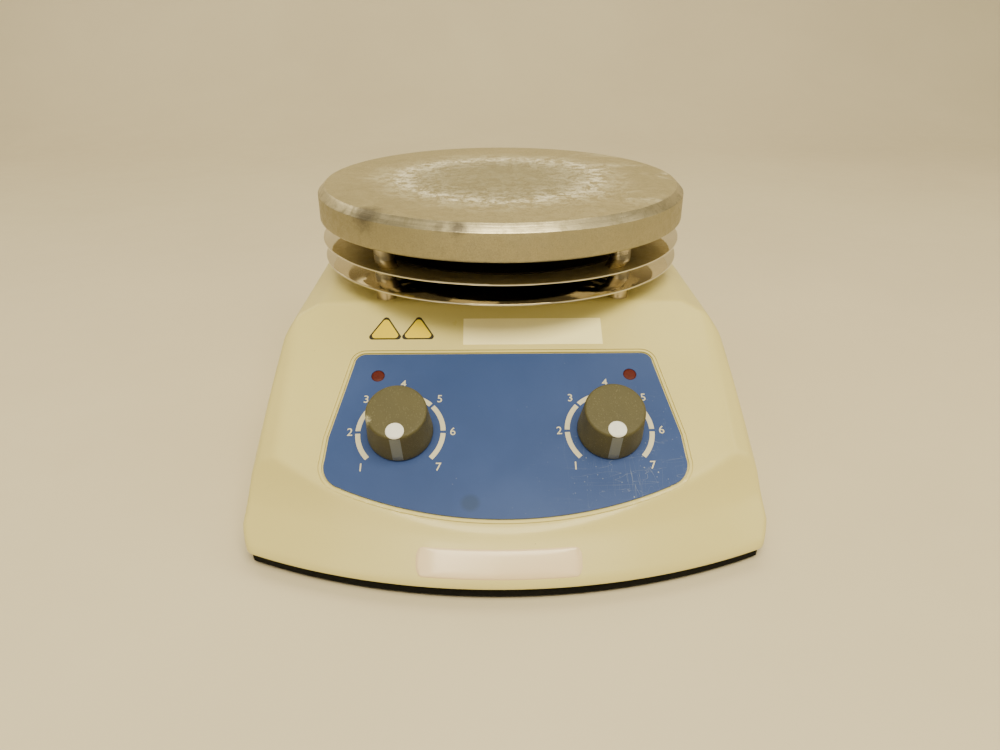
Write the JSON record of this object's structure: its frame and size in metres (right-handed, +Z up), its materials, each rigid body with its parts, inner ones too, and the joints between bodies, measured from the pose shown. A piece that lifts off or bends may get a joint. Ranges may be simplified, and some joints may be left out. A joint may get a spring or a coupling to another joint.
{
  "type": "magnetic stirrer with hot plate",
  "caption": "Bench stirrer with a round aluminium heating plate on spaced polished heat shields above a sloping housing with a panel, rotary controls and pilot lamps.",
  "frame": {"origin": "on the bench, under the middle of the footprint", "axes": "+Z up, +Y to the rear, so the control panel faces -Y; +X to the right of someone facing the panel"},
  "size_m": [0.1886, 0.27, 0.11],
  "materials": {
    "housing_shell": "gloss cream moulding",
    "base_black": "matt black",
    "foot_rubber": "matt",
    "screw_steel": "zinc plated",
    "foil_blue": "satin printed foil",
    "print_white": "printed ink",
    "lens_red": "clear red",
    "led_red": "clear red",
    "part_grey": "matt",
    "board_green": "lacquered circuit board",
    "board_parts": "moulded",
    "sheet_steel": "zinc plated sheet",
    "motor_steel": "grey enamel",
    "bearing_steel": "ground",
    "inlet_black": "matt",
    "pin_brass": "plated",
    "plate_aluminium": "worn matt",
    "heater_sheath": "heat-darkened sheath",
    "clamp_black": "heat-darkened",
    "sensor_steel": "bright",
    "shield_mirror": "mirror polished",
    "spacer_nickel": "dull nickelled",
    "bushing_ceramic": "unglazed",
    "lead_glass": "glass-braid sleeve",
    "label_white": "gloss sticker",
    "label_silver": "satin sticker",
    "sign_yellow": "gloss sticker",
    "shaft_steel": "ground",
    "armature_copper": "lacquered laminations",
    "carrier_dark": "moulded",
    "magnet_ferrite": "nickel plated",
    "knob_olive": "fine textured",
    "pointer_white": "satin",
    "drawer_black": "matt",
    "fuse_glass": "clear with plated caps"
  },
  "bodies": {
    "base": {"housing": "housing_shell", "base_plate": "base_black", "rubber_feet": "foot_rubber", "foot_screws": "screw_steel", "base_screws": "screw_steel", "fascia": "foil_blue", "dial_rings": "print_white", "heating_lamp": "lens_red", "stirring_lamp": "lens_red", "lamp_leds": "led_red", "pot_bodies": "part_grey", "pot_nuts": "screw_steel", "control_board": "board_green", "board_parts": "board_parts", "board_screws": "screw_steel", "motor_bracket": "sheet_steel", "bracket_screws": "screw_steel", "motor_can": "motor_steel", "motor_bearings": "bearing_steel", "power_inlet": "inlet_black", "inlet_pins": "pin_brass", "inlet_screws": "screw_steel", "work_plate": "plate_aluminium", "heater_element": "heater_sheath", "heater_clamp": "clamp_black", "thermal_sensor": "sensor_steel", "upper_shield": "shield_mirror", "lower_shield": "shield_mirror", "spacers_upper": "spacer_nickel", "spacers_middle": "spacer_nickel", "spacers_lower": "spacer_nickel", "pillar_studs": "screw_steel", "pillar_nuts": "screw_steel", "lead_bushing": "bushing_ceramic", "heater_leads": "lead_glass", "rod_socket": "shaft_steel", "brow_label": "label_white", "apron_label": "label_silver", "hazard_signs": "sign_yellow"},
    "rotor": {"motor_shaft": "shaft_steel", "armature": "armature_copper", "magnet_carrier": "carrier_dark", "drive_magnets": "magnet_ferrite", "grub_screw": "screw_steel"},
    "heating_control": {"heating_knob": "knob_olive", "heating_pointer": "pointer_white", "heating_shaft": "shaft_steel"},
    "stirring_control": {"stirring_knob": "knob_olive", "stirring_pointer": "pointer_white", "stirring_shaft": "shaft_steel"},
    "fuse_tray": {"fuse_drawer": "drawer_black", "fuses": "fuse_glass"}
  },
  "joints": [
    {"name": "rotor_spin", "type": "hinge", "parent": "base", "child": "rotor", "pos_m": [0, 0.014, 0.03], "axis": [0, 0, 1], "continuous": true},
    {"name": "heating_dial", "type": "hinge", "parent": "base", "child": "heating_control", "pos_m": [-0.0379, -0.0903, 0.04068], "axis": [0, 0.515, -0.8572], "range_deg": [0, 315]},
    {"name": "stirring_dial", "type": "hinge", "parent": "base", "child": "stirring_control", "pos_m": [0.0379, -0.0903, 0.04068], "axis": [0, 0.515, -0.8572], "range_deg": [0, 315]},
    {"name": "fuse_drawer_slide", "type": "slide", "parent": "base", "child": "fuse_tray", "axis": [0, 1, 0], "range_m": [0, 0.018]}
  ]
}
